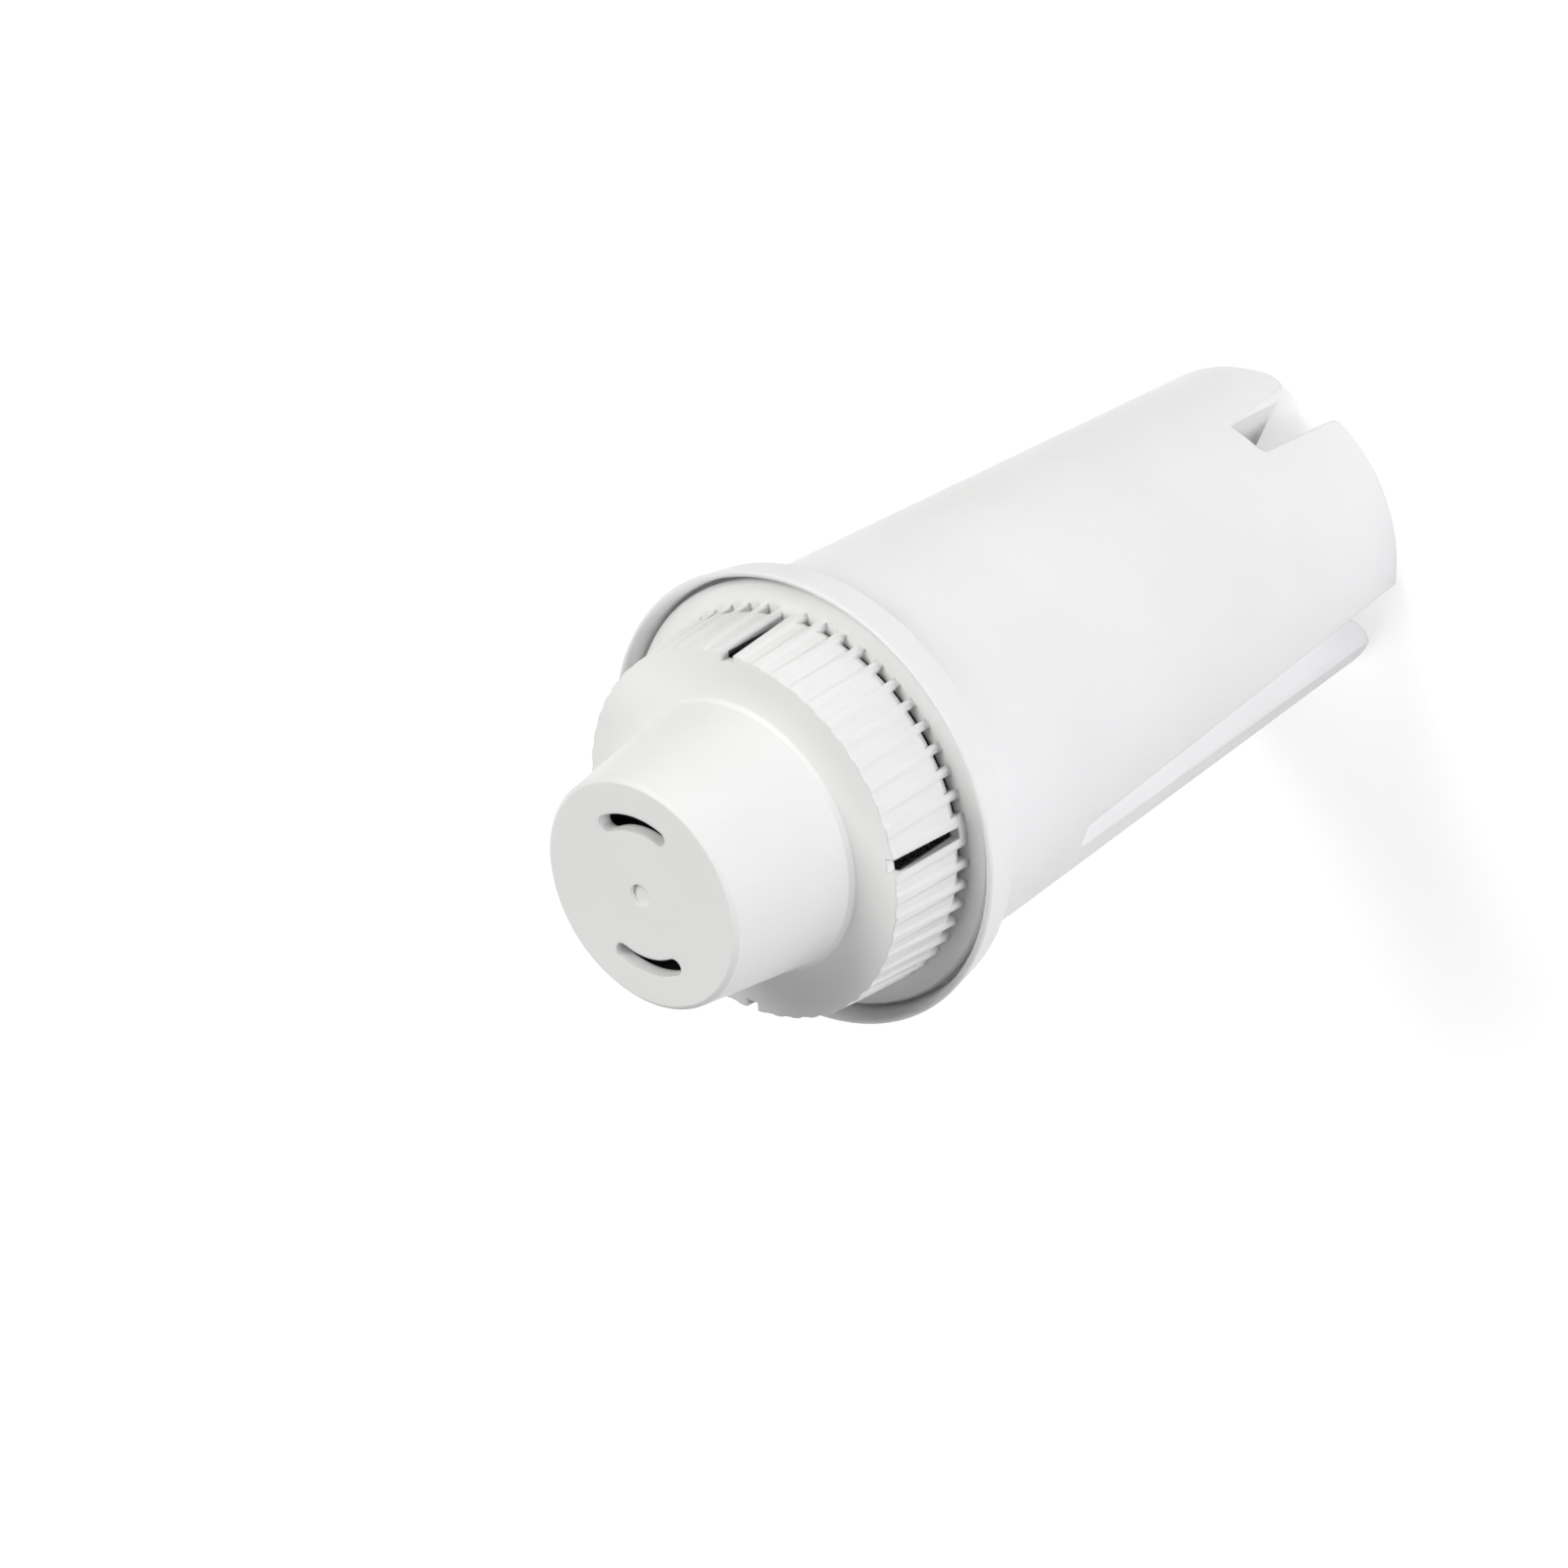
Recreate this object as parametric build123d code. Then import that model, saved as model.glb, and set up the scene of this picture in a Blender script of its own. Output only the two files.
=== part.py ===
from build123d import *
from collections import namedtuple
import math
import os

# Drop-in water filter cartridge. Millimetres and degrees.
# Z is the cartridge's axis, the feet stand on Z = 0 and the knob is on top.

# Cup: tapered tube with a stepped flange
BODY_HEIGHT = 97.6  # feet to the flange's underside
BODY_TOP_RADIUS = 27.5
BODY_END_RADIUS = 24.05
CUP_WALL = 1.6
FLANGE_STEP = 2.9  # width of the flange's underside
FLANGE_FLOOR = 1.8  # floor of the well that takes the lid
FLANGE_HEIGHT = 5.4  # underside to the lip's top
FLANGE_FLARE = 0.85
LIP_WIDTH = 0.9
WELL_SLOPE = 0.75  # lean of the well's wall
EDGE_BEVEL = 0.3
FOOT_BEVEL = 0.6

# Lower end: a wide and a low channel cross and leave four hollow feet, two panels and two bevelled lobes
FOOT_HEIGHT = 18.1
OUTLET_FLOOR = 1.8
CHANNEL_CORNER = 1.2
PANEL_DRAFT = 2.0
LOBE_DRAFT = 2.0
LOBE_CORNER = 4.5
WIDE_WIDTH = 6.3
WIDE_PANEL_CORNER = 2.2
WIDE_BEVEL_HEIGHT = 2.6
WIDE_BEVEL_RUN = 5.6
WIDE_CREST = 1.6  # bevel on the lobe's upright edge, at the feet
CROSS_SPREAD = 78.3  # angle between the two channels
CROSS_WIDTH = 4.6
CROSS_HEIGHT = 12.5
CROSS_PANEL_CORNER = 1.8
CROSS_BEVEL_HEIGHT = 4.4
CROSS_BEVEL_RUN = 10.0

# Outlet slits in the wide channel's roof
OUTLET_SLITS = 6  # in each arm
OUTLET_SLIT_WIDTH = 1.0
OUTLET_SLIT_PITCH = 3.0
OUTLET_SLIT_MARGIN = 0.8  # roof left at each end of a slit
OUTLET_FIRST_RADIUS = 5.0

# Long grooves, which deepen downwards and run out beside the cross channel
GROOVE_SPREAD = 84.0
GROOVE_TOP = 75.6
GROOVE_TOP_DEPTH = 1.7
GROOVE_END_DEPTH = 4.4
GROOVE_TOP_REACH = 3.1  # from the groove's axis to its edge on the lobe's side
GROOVE_END_REACH = 3.75
GROOVE_LOBE_ANGLE = 45.0
GROOVE_PANEL_ANGLE = 41.5
GROOVE_FLAT = 1.2
GROOVE_ROUND = 0.8
GROOVE_CREST = 0.9  # depth of the bevel on the lobe's edge, at the feet
GROOVE_CREST_ANGLE = 68.0

# Lid: knob, shoulder, drum, base ring and spigot
LID_GAP = 0.4
LID_WALL = 1.4
LID_TURN = -15.5  # the lid's axis of symmetry, from the channel along X
RING_THICKNESS = 1.8
RING_WIDTH = 2.9
SPIGOT_DEPTH = 3.8
DRUM_HEIGHT = 12.7
DRUM_TAPER = 1.15
DRUM_FOOT_WALL = 1.6
DRUM_TOP_WALL = 0.9
SHOULDER_WIDTH = 7.0
KNOB_HEIGHT = 18.6
KNOB_TAPER = 2.7
KNOB_END_WALL = 2.0
KNOB_BEVEL = 0.5

# Vent slots and gate mark in the knob's end
VENT_RADIUS = 9.75
VENT_WIDTH = 2.2
VENT_ARC = 52.0  # between the centres of the slot's round ends
VENT_TURN = 45.0  # from the lid's axis of symmetry
GATE_RADIUS = 1.45
GATE_DEPTH = 0.5

# Flutes, inlet windows and slits of the drum
FLUTE_STEPS = 52  # steps round the drum, a flute or a slit at each
FLUTE_FLAT = 1.2
FLUTE_SLOPE = 24.0  # of the flute's sides
FLUTE_TOP_DEPTH = 0.15
FLUTE_FOOT_DEPTH = 0.45
FLUTE_LIFT = 0.4  # height of the flute's end above the base ring
POCKET_WIDTH = 1.95
POCKET_HEIGHT = 2.6
POCKET_DEPTH = 1.1
WINDOW_HEIGHT = 0.7
SLIT_STEPS = 6  # from the axis of symmetry to a slit
SLIT_TOP_WIDTH = 2.0
SLIT_FOOT_WIDTH = 1.5
SLIT_LIFT = 1.3
SLIT_NOTCH = 1.2  # depth of the slit in the shoulder's edge

# Screens and filter bed
SCREEN_GAP = 0.3
SCREEN_THICKNESS = 1.0
BED_GAP = 0.3
HEADSPACE = 7.7  # between the bed and the inlet screen

# Levels and radii that follow from the sizes above
WELL_LEVEL = BODY_HEIGHT + FLANGE_FLOOR
LIP_LEVEL = BODY_HEIGHT + FLANGE_HEIGHT
RING_LEVEL = WELL_LEVEL + RING_THICKNESS
SHOULDER_LEVEL = RING_LEVEL + DRUM_HEIGHT
TOP_LEVEL = SHOULDER_LEVEL + KNOB_HEIGHT
SPIGOT_LEVEL = WELL_LEVEL - SPIGOT_DEPTH
FLOOR_LEVEL = FOOT_HEIGHT + OUTLET_FLOOR
BED_LEVEL = SPIGOT_LEVEL - SCREEN_THICKNESS - HEADSPACE

FLANGE_FOOT_RADIUS = BODY_TOP_RADIUS + FLANGE_STEP
LIP_RADIUS = FLANGE_FOOT_RADIUS + FLANGE_FLARE
WELL_RADIUS = LIP_RADIUS - LIP_WIDTH - WELL_SLOPE
RING_RADIUS = WELL_RADIUS - LID_GAP
DRUM_FOOT_RADIUS = RING_RADIUS - RING_WIDTH
DRUM_TOP_RADIUS = DRUM_FOOT_RADIUS - DRUM_TAPER
KNOB_BASE_RADIUS = DRUM_TOP_RADIUS - SHOULDER_WIDTH
KNOB_TOP_RADIUS = KNOB_BASE_RADIUS - KNOB_TAPER

REACH = 2 * LIP_RADIUS  # cutters reach past every wall by this much
OVERCUT = 1.0  # cutters pass the faces they open by this much

Channel = namedtuple("Channel", "width height panel_corner bevel_height bevel_run lobe_side arms")
WIDE = Channel(
    WIDE_WIDTH,
    FOOT_HEIGHT,
    WIDE_PANEL_CORNER,
    WIDE_BEVEL_HEIGHT,
    WIDE_BEVEL_RUN,
    1,
    (0.0, 180.0),
)
CROSS = Channel(
    CROSS_WIDTH,
    CROSS_HEIGHT,
    CROSS_PANEL_CORNER,
    CROSS_BEVEL_HEIGHT,
    CROSS_BEVEL_RUN,
    -1,
    (-CROSS_SPREAD, 180.0 - CROSS_SPREAD),
)
GROOVE_ARMS = (-GROOVE_SPREAD, 180.0 - GROOVE_SPREAD)
FLUTE_PITCH = 360.0 / FLUTE_STEPS
SLIT_TURN = SLIT_STEPS * FLUTE_PITCH
SLIT_ANGLES = (SLIT_TURN, -SLIT_TURN, 180.0 + SLIT_TURN, 180.0 - SLIT_TURN)


def slope(angle):
    """Run of a line leaning by an angle, for each millimetre of rise."""
    return math.tan(math.radians(angle))


def body_radius(level):
    """Outer radius of the tapered tube at a level."""
    return BODY_END_RADIUS + (BODY_TOP_RADIUS - BODY_END_RADIUS) * level / BODY_HEIGHT


def drum_radius(level):
    """Outer radius of the drum at a level."""
    return DRUM_FOOT_RADIUS - DRUM_TAPER * (level - RING_LEVEL) / DRUM_HEIGHT


def bevelled(points, cuts):
    """Closed outline with its corners cut off by the given lengths."""
    outline = []
    for i, (corner, cut) in enumerate(zip(points, cuts)):
        if cut == 0:
            outline.append(corner)
            continue
        for neighbour in (points[i - 1], points[(i + 1) % len(points)]):
            share = cut / math.dist(corner, neighbour)
            outline.append(tuple(a + (b - a) * share for a, b in zip(corner, neighbour)))
    return outline


def grown(points, amount):
    """Convex outline, anticlockwise, with every side moved outwards."""
    sides = []
    for (x0, y0), (x1, y1) in zip(points, points[1:] + points[:1]):
        length = math.hypot(x1 - x0, y1 - y0)
        across = ((y1 - y0) / length, (x0 - x1) / length)
        sides.append((*across, across[0] * x0 + across[1] * y0 + amount))
    outline = []
    for (a, b, c), (d, e, f) in zip(sides[-1:] + sides[:-1], sides):
        scale = a * e - b * d
        outline.append(((c * e - b * f) / scale, (a * f - c * d) / scale))
    return outline


def turned(points):
    """Solid of revolution of a closed outline in radius and level."""
    return revolve(Plane.XZ * make_face(Polyline(*points, close=True)), Axis.Z)


def radial_cut(points, width):
    """Prism of an outline in radius and level, centred on the X axis."""
    outline = Polyline(*points, close=True)
    return extrude(Plane.XZ * make_face(outline), amount=width / 2, both=True)


def around(shape, angles):
    """Copies of a shape turned about the axis."""
    return [Rot(0, 0, angle) * shape for angle in angles]


def inner_cone(gap, low, high):
    """Inside of the tapered tube between two levels, less a gap."""
    low_radius = body_radius(low) - CUP_WALL - gap
    high_radius = body_radius(high) - CUP_WALL - gap
    return turned([(0, low), (low_radius, low), (high_radius, high), (0, high)])


def channel_cuts(channel):
    """Both arms of a channel; the foot with the bevelled lobe lies on the side given by the sign."""
    half = channel.width / 2
    panel_foot = -half - channel.height * slope(PANEL_DRAFT)
    panel_mouth = panel_foot - 2 * channel.panel_corner
    lobe_knee = half + (channel.height - channel.bevel_height) * slope(LOBE_DRAFT)
    lobe_foot = lobe_knee + channel.bevel_run
    lobe_mouth = lobe_foot + 2 * LOBE_CORNER
    points = [
        (-half, channel.height),
        (half, channel.height),
        (lobe_knee, channel.bevel_height),
        (lobe_foot, 0),
        (lobe_mouth, 0),
        (lobe_mouth, -OVERCUT),
        (panel_mouth, -OVERCUT),
        (panel_mouth, 0),
        (panel_foot, 0),
    ]
    rounds = [CHANNEL_CORNER, CHANNEL_CORNER, LOBE_CORNER, LOBE_CORNER, 0, 0, 0, 0, channel.panel_corner]
    points = [(channel.lobe_side * across, level) for across, level in points]
    profile = make_face(FilletPolyline(*points, radius=rounds, close=True))
    return around(extrude(Plane.YZ * profile, amount=REACH), channel.arms)


def channel_cores(channel):
    """What the hollow feet leave free around both arms of a channel: the arms, their walls and their roof."""
    half = channel.width / 2 + CUP_WALL
    drop = channel.height + OVERCUT
    panel = -half - drop * slope(PANEL_DRAFT)
    lobe = half + drop * slope(LOBE_DRAFT)
    roof = channel.height + OUTLET_FLOOR
    points = [
        (-half, roof),
        (half, roof),
        (half, channel.height),
        (lobe, -OVERCUT),
        (panel, -OVERCUT),
        (-half, channel.height),
    ]
    points = [(channel.lobe_side * across, level) for across, level in points]
    profile = make_face(Polyline(*points, close=True))
    return around(extrude(Plane.YZ * profile, amount=REACH), channel.arms)


def lobe_crest_section(level):
    """Section of the bevel on a lobe's upright edge beside the wide channel, which runs out at the roof."""
    depth = WIDE_CREST * (1 - level / WIDE.height)
    wall = WIDE.width / 2 + (WIDE.height - level) * slope(LOBE_DRAFT)
    outer = math.sqrt(body_radius(level) ** 2 - wall**2)
    corners = [
        (outer - depth - OVERCUT, wall - OVERCUT),
        (outer + OVERCUT, wall + depth + OVERCUT),
        (outer + OVERCUT, wall - OVERCUT),
    ]
    return Plane.XY.offset(level) * make_face(Polyline(*corners, close=True))


def lobe_crests():
    """The bevels on both lobes' upright edges beside the wide channel."""
    crest = loft([lobe_crest_section(-OVERCUT), lobe_crest_section(WIDE.height)], ruled=True)
    return around(crest, WIDE.arms)


def groove_sizes(level):
    """Depth of a long groove at a level, and its reach from the axis to its edge on the lobe's side."""
    share = level / GROOVE_TOP
    depth = GROOVE_END_DEPTH + (GROOVE_TOP_DEPTH - GROOVE_END_DEPTH) * share
    reach = GROOVE_END_REACH + (GROOVE_TOP_REACH - GROOVE_END_REACH) * share
    return depth, reach


def groove_section(level, grow):
    """Section of a long groove at a level, grown by a wall; its axis is X and the lobe lies towards -Y."""
    depth, reach = groove_sizes(level)
    bottom = depth * slope(GROOVE_LOBE_ANGLE) - reach
    inner = body_radius(level) - depth
    rise = depth + OVERCUT
    corners = [
        (inner, bottom),
        (inner + rise, bottom - rise * slope(GROOVE_LOBE_ANGLE)),
        (inner + rise, bottom + GROOVE_FLAT + rise * slope(GROOVE_PANEL_ANGLE)),
        (inner, bottom + GROOVE_FLAT),
    ]
    return Plane.XY.offset(level) * make_face(Polyline(*grown(corners, grow), close=True))


def crest_section(level):
    """Section of the bevel on the lobe's edge of a long groove, which runs out at the groove's upper end."""
    reach = groove_sizes(level)[1]
    depth = GROOVE_CREST * (1 - level / GROOVE_TOP)
    start = depth * slope(GROOVE_LOBE_ANGLE) - reach
    inner = body_radius(level) - depth
    rise = depth + OVERCUT
    corners = [
        (inner, start),
        (inner + rise, start - rise * slope(GROOVE_CREST_ANGLE)),
        (inner + rise, start),
    ]
    return Plane.XY.offset(level) * make_face(Polyline(*corners, close=True))


def groove_prism(grow):
    """A long groove along X, grown by a wall, from below the feet to its upper end."""
    return loft([groove_section(-OVERCUT, grow), groove_section(GROOVE_TOP + grow, grow)], ruled=True)


def groove_cuts():
    """Both long grooves as they are cut, with a rounded upper end and a bevelled crest beside the lobe."""
    prism = groove_prism(0)
    # All but the outermost of the end's four edges, which lies outside the tube.
    end_edges = prism.faces().sort_by(Axis.Z)[-1].edges().sort_by(Axis.X)[:3]
    groove = fillet(end_edges, GROOVE_ROUND)
    crest = loft([crest_section(-OVERCUT), crest_section(GROOVE_TOP)], ruled=True)
    return around(groove, GROOVE_ARMS) + around(crest, GROOVE_ARMS)


def groove_cores(gap):
    """What the cup's hollow and the pieces in it leave free around both long grooves."""
    return around(groove_prism(CUP_WALL + gap), GROOVE_ARMS)


def outlet_slits():
    """Slits through the outlet floor along the wide channel."""
    slit = Box(OUTLET_SLIT_WIDTH, WIDE.width - 2 * OUTLET_SLIT_MARGIN, OUTLET_FLOOR + 2 * OVERCUT)
    middle = FOOT_HEIGHT + OUTLET_FLOOR / 2
    radii = [OUTLET_FIRST_RADIUS + i * OUTLET_SLIT_PITCH for i in range(OUTLET_SLITS)]
    return [copy for radius in radii for copy in around(Pos(radius, 0, middle) * slit, WIDE.arms)]


def cartridge_cup():
    """Tapered tube with its flange, long grooves, channels, hollow feet and outlet floor."""
    outline = [
        (0, 0),
        (BODY_END_RADIUS, 0),
        (BODY_TOP_RADIUS, BODY_HEIGHT),
        (FLANGE_FOOT_RADIUS, BODY_HEIGHT),
        (LIP_RADIUS, LIP_LEVEL),
        (LIP_RADIUS - LIP_WIDTH, LIP_LEVEL),
        (WELL_RADIUS, WELL_LEVEL),
        (0, WELL_LEVEL),
    ]
    shell = turned(bevelled(outline, [0, FOOT_BEVEL, 0, EDGE_BEVEL, EDGE_BEVEL, EDGE_BEVEL, 0, 0]))
    cores = channel_cores(WIDE) + channel_cores(CROSS) + groove_cores(0)
    floor_slab = Pos(0, 0, FOOT_HEIGHT) * extrude(Circle(REACH), amount=OUTLET_FLOOR)
    hollow = inner_cone(0, -OVERCUT, WELL_LEVEL + OVERCUT) - cores - floor_slab
    cuts = channel_cuts(WIDE) + channel_cuts(CROSS) + lobe_crests() + groove_cuts() + outlet_slits()
    return shell - cuts - hollow


def flute():
    """Shallow flat-bottomed flute along the drum, at the X axis."""
    foot = Vector(DRUM_FOOT_RADIUS - FLUTE_FOOT_DEPTH, 0, RING_LEVEL)
    top = Vector(DRUM_TOP_RADIUS - FLUTE_TOP_DEPTH, 0, SHOULDER_LEVEL)
    along = (top - foot).normalized()
    start = Plane(foot + along * FLUTE_LIFT, x_dir=(0, 1, 0), z_dir=along)
    bottom = FLUTE_FLAT / 2
    mouth = bottom + OVERCUT / slope(FLUTE_SLOPE)
    profile = Polyline((-bottom, 0), (bottom, 0), (mouth, -OVERCUT), (-mouth, -OVERCUT), close=True)
    return extrude(start * make_face(profile), amount=DRUM_HEIGHT + OVERCUT)


def inlet_pocket():
    """Ramped pocket at a flute's foot, with its window through the drum's wall."""
    start_level = RING_LEVEL + POCKET_HEIGHT
    window_level = RING_LEVEL + WINDOW_HEIGHT
    inside = DRUM_FOOT_RADIUS - DRUM_FOOT_WALL - OVERCUT
    outside = DRUM_FOOT_RADIUS + OVERCUT
    points = [
        (drum_radius(start_level), start_level),
        (drum_radius(window_level) - POCKET_DEPTH, window_level),
        (inside, window_level),
        (inside, RING_LEVEL),
        (outside, RING_LEVEL),
        (outside, start_level),
    ]
    return radial_cut(points, POCKET_WIDTH)


def drum_slit():
    """Wedge-shaped slit through the drum's wall, open at the shoulder's edge."""
    foot = RING_LEVEL + SLIT_LIFT
    roof = SHOULDER_LEVEL - LID_WALL
    top = SHOULDER_LEVEL + OVERCUT
    inside = DRUM_TOP_RADIUS - DRUM_FOOT_WALL - OVERCUT
    notch = DRUM_TOP_RADIUS - SLIT_NOTCH
    outside = DRUM_FOOT_RADIUS + OVERCUT
    points = [(inside, foot), (outside, foot), (outside, top), (notch, top), (notch, roof), (inside, roof)]
    top_half = SLIT_TOP_WIDTH / 2
    foot_half = SLIT_FOOT_WIDTH / 2
    wedge = Polyline((-foot_half, foot), (foot_half, foot), (top_half, top), (-top_half, top), close=True)
    return radial_cut(points, SLIT_TOP_WIDTH) & extrude(Plane.YZ * make_face(wedge), amount=REACH)


def knob_vents():
    """The two arc slots and the gate mark in the knob's end."""
    middle = CenterArc((0, 0), VENT_RADIUS, VENT_TURN - VENT_ARC / 2, VENT_ARC)
    slot = extrude(SlotArc(middle, VENT_WIDTH), amount=KNOB_END_WALL + 2 * OVERCUT)
    slot = Pos(0, 0, TOP_LEVEL - KNOB_END_WALL - OVERCUT) * slot
    gate = Pos(0, 0, TOP_LEVEL - GATE_DEPTH) * extrude(Circle(GATE_RADIUS), amount=OVERCUT)
    return around(slot, (0, 180)) + [gate]


def inlet_lid():
    """Hollow knob, shoulder, fluted drum with its windows and slits, base ring and spigot."""
    spigot = body_radius(SPIGOT_LEVEL) - CUP_WALL - LID_GAP
    outline = [
        (0, SPIGOT_LEVEL),
        (spigot, SPIGOT_LEVEL),
        (spigot, WELL_LEVEL),
        (RING_RADIUS, WELL_LEVEL),
        (RING_RADIUS, RING_LEVEL),
        (DRUM_FOOT_RADIUS, RING_LEVEL),
        (DRUM_TOP_RADIUS, SHOULDER_LEVEL),
        (KNOB_BASE_RADIUS, SHOULDER_LEVEL),
        (KNOB_TOP_RADIUS, TOP_LEVEL),
        (0, TOP_LEVEL),
    ]
    outside = turned(bevelled(outline, [0, 0, 0, 0, EDGE_BEVEL, 0, 0, KNOB_BEVEL, KNOB_BEVEL, 0]))
    inside = turned(
        [
            (0, SPIGOT_LEVEL - OVERCUT),
            (spigot - LID_WALL, SPIGOT_LEVEL - OVERCUT),
            (spigot - LID_WALL, WELL_LEVEL),
            (DRUM_FOOT_RADIUS - DRUM_FOOT_WALL, RING_LEVEL),
            (DRUM_TOP_RADIUS - DRUM_TOP_WALL, SHOULDER_LEVEL - LID_WALL),
            (KNOB_BASE_RADIUS - LID_WALL, SHOULDER_LEVEL - LID_WALL),
            (KNOB_TOP_RADIUS - LID_WALL, TOP_LEVEL - KNOB_END_WALL),
            (0, TOP_LEVEL - KNOB_END_WALL),
        ]
    )
    slit_steps = [round(angle / FLUTE_PITCH) % FLUTE_STEPS for angle in SLIT_ANGLES]
    fluted = [step * FLUTE_PITCH for step in range(FLUTE_STEPS) if step not in slit_steps]
    drum_cuts = around(flute(), fluted) + around(inlet_pocket(), fluted) + around(drum_slit(), SLIT_ANGLES)
    return Rot(0, 0, LID_TURN) * (outside - inside - drum_cuts - knob_vents())


def outlet_screen():
    """Fleece disc on the outlet floor, cut out for the long grooves."""
    return inner_cone(SCREEN_GAP, FLOOR_LEVEL, FLOOR_LEVEL + SCREEN_THICKNESS) - groove_cores(SCREEN_GAP)


def media_bed():
    """Granules from the outlet screen up to the headspace."""
    return inner_cone(BED_GAP, FLOOR_LEVEL + SCREEN_THICKNESS, BED_LEVEL) - groove_cores(BED_GAP)


def inlet_screen():
    """Fleece disc under the lid's spigot."""
    return inner_cone(SCREEN_GAP, SPIGOT_LEVEL - SCREEN_THICKNESS, SPIGOT_LEVEL)


PIECES = {
    "cartridge_cup": cartridge_cup,
    "inlet_lid": inlet_lid,
    "outlet_screen": outlet_screen,
    "media_bed": media_bed,
    "inlet_screen": inlet_screen,
}

os.makedirs("parts", exist_ok=True)
for name, make in PIECES.items():
    export_step(make(), f"parts/{name}.step")
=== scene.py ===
import math

import bpy
from mathutils import Matrix, Vector

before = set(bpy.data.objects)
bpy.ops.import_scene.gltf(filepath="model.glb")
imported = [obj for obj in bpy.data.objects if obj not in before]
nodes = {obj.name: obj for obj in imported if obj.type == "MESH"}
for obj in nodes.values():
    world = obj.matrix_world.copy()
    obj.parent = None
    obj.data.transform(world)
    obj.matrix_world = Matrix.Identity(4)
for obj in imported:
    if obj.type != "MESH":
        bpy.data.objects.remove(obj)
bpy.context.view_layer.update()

# Camera, in metres and degrees of the part's frame; lens and sensor in millimetres
CAMERA_PLACE = (0.33598, -0.16266, 0.43062)
CAMERA_AZIMUTH = -26.25
CAMERA_ELEVATION = 41.255
CAMERA_ROLL = 120.79
CAMERA_LENS = 90.0
SENSOR_WIDTH = 36.0
NEAREST_SEEN = 0.01

# Studio, in metres
FLOOR_SIZE = 6.0
FLOOR_DROP = 0.0002
FLOOR_WHITE = 0.8
FLOOR_GLOW = 0.62  # what the floor gives off beside the part
GLOW_REACH = (0.25, 0.9)  # from the part to where the floor is all glow
WORLD_STRENGTH = 0.06
LAMP_AIM = (0, 0, 0.066)  # the part's middle
LAMP_DISTANCE = 1.2

# Inner faces of the lid, which get painted shade (a dark colour standing in for the shade inside the
# hollow), in metres
DRUM_INSIDE = 0.02478
DRUM_ROOF = 0.11255
KNOB_INSIDE = 0.0168
KNOB_LEAN = 0.15
KNOB_ROOF = 0.13055
INSIDE_SHADE_LEVELS = (0.1024, 0.1036)
INSIDE_SHADE_COVER = 0.95
INSIDE_SHADE_COLOR = (0.10, 0.10, 0.098)

# Moulded plastic: scales are cells per metre, lengths are metres
CLOUD_SCALE = 38.0
CLOUD_RANGE = (0.35, 0.65)
SKIN_SCALE = 2600.0
DRAW_SCALES = (1400.0, 1400.0, 25.0)  # fine across the wall, long down it
SKIN_SHARE = 0.6  # of the relief; draw marks are the rest
RELIEF_STRENGTH = 0.12
RELIEF_HEIGHT = 0.00006
EDGE_RADIUS = 0.00035
EDGE_SAMPLES = 4
GLOSS_SCALE = 260.0
GLOSS_RANGE = (0.3, 0.7)
SMOOTHER = 0.05
ROUGHER = 0.06
SPECULAR = 0.3
UNDER_SKIN = 0.2  # share of the light that goes under the skin
UNDER_SKIN_DEPTH = 0.0012

# Fleece, with painted shade in the gaps between fibres
FIBRE_SCALE = 1800.0
FIBRE_WIDTH = 0.12
FIBRE_COLOR = (0.78, 0.78, 0.76)
FIBRE_GAP_SHADE_COLOR = (0.22, 0.22, 0.215)
FIBRE_STRENGTH = 0.8
FIBRE_HEIGHT = 0.0002
FIBRE_ROUGHNESS = 0.9

# Granules
GRAIN_SCALE = 1100.0
RESIN_RANGE = (0.62, 0.66)  # grains picked above this are resin
CARBON_COLOR = (0.02, 0.02, 0.021)
RESIN_COLOR = (0.42, 0.27, 0.12)
GRAIN_REACH = 0.6
GRAIN_STRENGTH = 1.0
GRAIN_HEIGHT = 0.0005
GRAIN_ROUGHNESS = 0.6

WHITE = (1, 1, 1, 1)


def link(obj):
    """Adds an object to the scene."""
    bpy.context.scene.collection.objects.link(obj)
    return obj


def direction(azimuth, elevation):
    """Unit vector towards an azimuth and elevation in degrees."""
    a = math.radians(azimuth)
    e = math.radians(elevation)
    return Vector((math.cos(e) * math.cos(a), math.cos(e) * math.sin(a), math.sin(e)))


def add_camera():
    """The photograph's camera, rolled as the part lies in the picture."""
    back = direction(CAMERA_AZIMUTH, CAMERA_ELEVATION)
    level_right = direction(CAMERA_AZIMUTH + 90, 0)
    upright = back.cross(level_right)
    roll = math.radians(CAMERA_ROLL)
    up = level_right * math.sin(roll) + upright * math.cos(roll)
    right = up.cross(back)
    data = bpy.data.cameras.new("photo_camera")
    data.lens = CAMERA_LENS
    data.sensor_width = SENSOR_WIDTH
    data.clip_start = NEAREST_SEEN
    camera = link(bpy.data.objects.new("photo_camera", data))
    turn = Matrix((right, up, back)).transposed().to_4x4()
    camera.matrix_world = Matrix.Translation(CAMERA_PLACE) @ turn
    bpy.context.scene.camera = camera


def area_light(name, azimuth, elevation, size, power, color):
    """A square soft light aimed at the part's middle."""
    data = bpy.data.lights.new(name, "AREA")
    data.shape = "SQUARE"
    data.size = size
    data.energy = power
    data.color = color
    lamp = link(bpy.data.objects.new(name, data))
    back = direction(azimuth, elevation)
    lamp.location = Vector(LAMP_AIM) + back * LAMP_DISTANCE
    lamp.rotation_euler = back.to_track_quat("Z", "Y").to_euler()


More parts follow.
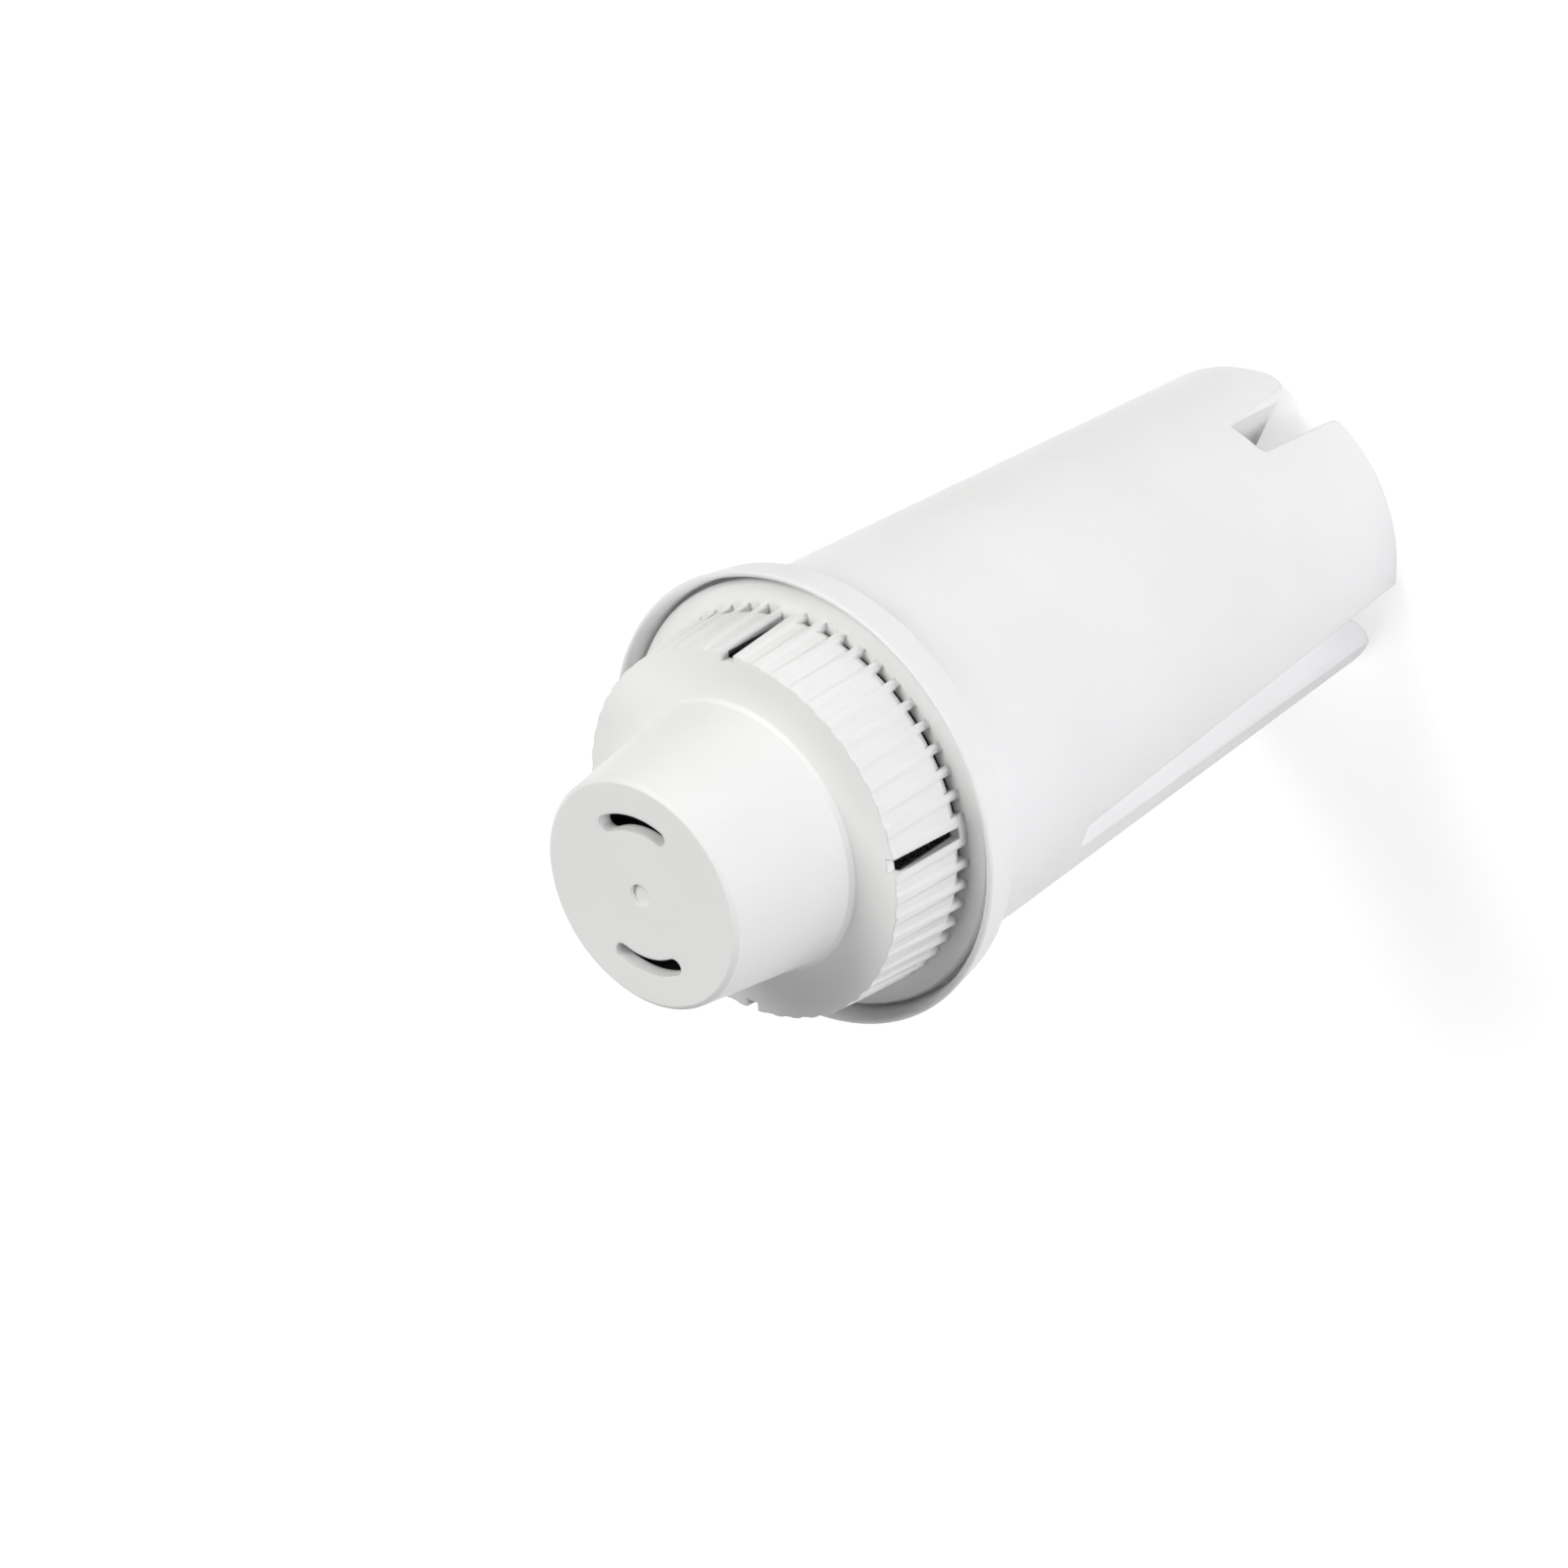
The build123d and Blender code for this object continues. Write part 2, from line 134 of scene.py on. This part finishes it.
class Nodes:
    """Short hand for building the nodes of a material or a world."""

    def __init__(self, owner):
        self.owner = owner
        owner.use_nodes = True
        self.tree = owner.node_tree
        self.tree.nodes.clear()

    def add(self, kind, inputs=None, **settings):
        """A node with its settings; inputs are values or the sockets that feed them."""
        node = self.tree.nodes.new(kind)
        for key, value in settings.items():
            setattr(node, key, value)
        for key, value in (inputs or {}).items():
            if isinstance(value, bpy.types.NodeSocket):
                self.tree.links.new(value, node.inputs[key])
            else:
                node.inputs[key].default_value = value
        return node

    def place(self):
        """The point being shaded, in the piece's own metres."""
        return self.add("ShaderNodeTexCoord").outputs["Object"]

    def math(self, operation, a, b=0.0):
        """Result of a Math node."""
        return self.add("ShaderNodeMath", {0: a, 1: b}, operation=operation).outputs[0]

    def noise(self, place, scale, detail):
        """Value of a noise texture."""
        inputs = {"Vector": place, "Scale": scale, "Detail": detail, "Roughness": 0.5}
        return self.add("ShaderNodeTexNoise", inputs).outputs[0]

    def ramp(self, value, low, high, to_low, to_high):
        """A value's range mapped to another, clamped."""
        inputs = {"Value": value, "From Min": low, "From Max": high, "To Min": to_low, "To Max": to_high}
        return self.add("ShaderNodeMapRange", inputs).outputs[0]

    def blend(self, factor, first, second):
        """Mix of two colours."""
        node = self.add("ShaderNodeMix", data_type="RGBA")
        self.tree.links.new(factor, node.inputs[0])
        for socket, value in ((node.inputs[6], first), (node.inputs[7], second)):
            if isinstance(value, bpy.types.NodeSocket):
                self.tree.links.new(value, socket)
            else:
                socket.default_value = (*value, 1.0)
        return node.outputs[2]

    def bump(self, strength, distance, height, **inputs):
        """Normal of a relief."""
        inputs.update({"Strength": strength, "Distance": distance, "Height": height})
        return self.add("ShaderNodeBump", inputs).outputs[0]

    def seen(self):
        """1 for rays that show the background: from the camera, or off or through a clear surface."""
        rays = self.add("ShaderNodeLightPath").outputs
        straight = self.math("MAXIMUM", rays["Is Camera Ray"], rays["Is Glossy Ray"])
        return self.math("MAXIMUM", straight, rays["Is Transmission Ray"])

    def finish(self, shader, output="ShaderNodeOutputMaterial"):
        """Ends the nodes in the shader."""
        self.add(output, {0: shader.outputs[0]})
        return self.owner


def inside_lid(m, place):
    """Mask of the inner faces of the lid's drum and knob, where painted shade goes; it fades out above the
    inlet windows.
    """
    x, y, level = m.add("ShaderNodeSeparateXYZ", {0: place}).outputs
    radius = m.math("SQRT", m.math("ADD", m.math("MULTIPLY", x, x), m.math("MULTIPLY", y, y)))
    in_tube = m.math("LESS_THAN", radius, DRUM_INSIDE)
    in_drum = m.math("MULTIPLY", in_tube, m.math("LESS_THAN", level, DRUM_ROOF))
    lean = m.math("MULTIPLY", m.math("SUBTRACT", level, DRUM_ROOF), KNOB_LEAN)
    in_cone = m.math("LESS_THAN", m.math("ADD", radius, lean), KNOB_INSIDE)
    in_knob = m.math("MULTIPLY", in_cone, m.math("LESS_THAN", level, KNOB_ROOF))
    inside = m.math("MAXIMUM", in_drum, in_knob)
    return m.math("MULTIPLY", inside, m.ramp(level, *INSIDE_SHADE_LEVELS, 0.0, 1.0))


def moulded_plastic(name, light, dark, roughness):
    """White moulded plastic: cloudy tone, fine skin, faint draw marks, and painted shade on the lid's
    inner faces.
    """
    m = Nodes(bpy.data.materials.new(name))
    place = m.place()
    clouds = m.noise(place, CLOUD_SCALE, 3.0)
    clean = m.blend(m.ramp(clouds, *CLOUD_RANGE, 0.0, 1.0), dark, light)
    # Painted shade: the lid's inner faces are darkened almost to black, standing in for the shade inside
    # the hollow lid.
    inside_shade = m.math("MULTIPLY", inside_lid(m, place), INSIDE_SHADE_COVER)
    color = m.blend(inside_shade, clean, INSIDE_SHADE_COLOR)
    skin = m.math("MULTIPLY", m.noise(place, SKIN_SCALE, 2.0), SKIN_SHARE)
    drawn = m.add("ShaderNodeMapping", {"Vector": place, "Scale": DRAW_SCALES}).outputs[0]
    draw_marks = m.math("MULTIPLY", m.noise(drawn, 1.0, 2.0), 1 - SKIN_SHARE)
    edges = m.add("ShaderNodeBevel", {"Radius": EDGE_RADIUS}, samples=EDGE_SAMPLES).outputs[0]
    normal = m.bump(RELIEF_STRENGTH, RELIEF_HEIGHT, m.math("ADD", skin, draw_marks), Normal=edges)
    patches = m.noise(place, GLOSS_SCALE, 3.0)
    gloss = m.ramp(patches, *GLOSS_RANGE, roughness - SMOOTHER, roughness + ROUGHER)
    shader = m.add(
        "ShaderNodeBsdfPrincipled",
        {
            "Base Color": color,
            "Roughness": gloss,
            "Specular IOR Level": SPECULAR,
            "Subsurface Weight": UNDER_SKIN,
            "Subsurface Radius": (1.0, 1.0, 1.0),
            "Subsurface Scale": UNDER_SKIN_DEPTH,
            "Normal": normal,
        },
    )
    return m.finish(shader)


def fleece(name):
    """Matted white fibres, with painted shade in the gaps between them."""
    m = Nodes(bpy.data.materials.new(name))
    inputs = {"Vector": m.place(), "Scale": FIBRE_SCALE}
    tangle = m.add("ShaderNodeTexVoronoi", inputs, feature="DISTANCE_TO_EDGE").outputs[0]
    strands = m.ramp(tangle, 0.0, FIBRE_WIDTH, 1.0, 0.0)
    # Painted shade: the gaps between the fibres are coloured dark.
    color = m.blend(strands, FIBRE_GAP_SHADE_COLOR, FIBRE_COLOR)
    normal = m.bump(FIBRE_STRENGTH, FIBRE_HEIGHT, strands)
    inputs = {"Base Color": color, "Roughness": FIBRE_ROUGHNESS, "Normal": normal}
    return m.finish(m.add("ShaderNodeBsdfPrincipled", inputs))


def granules(name):
    """Dark carbon grains mixed with amber resin beads."""
    m = Nodes(bpy.data.materials.new(name))
    cells = m.add("ShaderNodeTexVoronoi", {"Vector": m.place(), "Scale": GRAIN_SCALE})
    pick = m.add("ShaderNodeSeparateColor", {0: cells.outputs["Color"]}).outputs[0]
    color = m.blend(m.ramp(pick, *RESIN_RANGE, 0.0, 1.0), CARBON_COLOR, RESIN_COLOR)
    dome = m.ramp(cells.outputs["Distance"], 0.0, GRAIN_REACH, 1.0, 0.0)
    normal = m.bump(GRAIN_STRENGTH, GRAIN_HEIGHT, dome)
    inputs = {"Base Color": color, "Roughness": GRAIN_ROUGHNESS, "Normal": normal}
    return m.finish(m.add("ShaderNodeBsdfPrincipled", inputs))


def white_ground(name):
    """White floor that takes shadow; part of its white is glow to the camera, and far out all of it."""
    m = Nodes(bpy.data.materials.new(name))
    distance = m.add("ShaderNodeVectorMath", {0: m.place()}, operation="LENGTH").outputs["Value"]
    strength = m.math("MULTIPLY", m.seen(), m.ramp(distance, *GLOW_REACH, FLOOR_GLOW, 1.0))
    matt = m.add("ShaderNodeBsdfDiffuse", {"Color": (FLOOR_WHITE, FLOOR_WHITE, FLOOR_WHITE, 1.0)})
    light = m.add("ShaderNodeEmission", {"Color": WHITE, "Strength": strength})
    both = m.add("ShaderNodeAddShader", {0: matt.outputs[0], 1: light.outputs[0]})
    return m.finish(both)


def add_floor():
    """Wide plain floor under the feet."""
    half = FLOOR_SIZE / 2
    mesh = bpy.data.meshes.new("floor")
    corners = [(-half, -half, 0), (half, -half, 0), (half, half, 0), (-half, half, 0)]
    mesh.from_pydata(corners, [], [(0, 1, 2, 3)])
    mesh.materials.append(white_ground("floor_white"))
    floor = link(bpy.data.objects.new("floor", mesh))
    floor.location.z = -FLOOR_DROP


def add_world():
    """Even pale surroundings, white to the camera."""
    m = Nodes(bpy.data.worlds.new("studio"))
    level = m.ramp(m.seen(), 0.0, 1.0, WORLD_STRENGTH, 1.0)
    sky = m.add("ShaderNodeBackground", {"Color": WHITE, "Strength": level})
    bpy.context.scene.world = m.finish(sky, "ShaderNodeOutputWorld")


def dress(node, material):
    """Gives a carried-over solid its material."""
    obj = nodes[node]
    obj.data.materials.clear()
    obj.data.materials.append(material)


cup_plastic = moulded_plastic(
    "cup_plastic", light=(0.865, 0.865, 0.87), dark=(0.835, 0.835, 0.84), roughness=0.42
)
lid_plastic = moulded_plastic(
    "lid_plastic", light=(0.865, 0.865, 0.86), dark=(0.835, 0.835, 0.83), roughness=0.45
)
fleece_cloth = fleece("fleece")
dress("cartridge_cup", cup_plastic)
dress("inlet_lid", lid_plastic)
dress("inlet_screen", fleece_cloth)
dress("outlet_screen", fleece_cloth)
dress("media_bed", granules("granules"))

add_floor()
add_world()
area_light("side", azimuth=-50.0, elevation=10.0, size=0.4, power=8.9, color=(0.98, 0.985, 1.0))
area_light("top", azimuth=56.0, elevation=48.0, size=0.8, power=11.8, color=(1.0, 1.0, 0.98))
area_light("rear", azimuth=176.0, elevation=36.0, size=0.8, power=2.8, color=(1.0, 1.0, 1.0))
add_camera()

bpy.context.scene.view_settings.view_transform = "Standard"
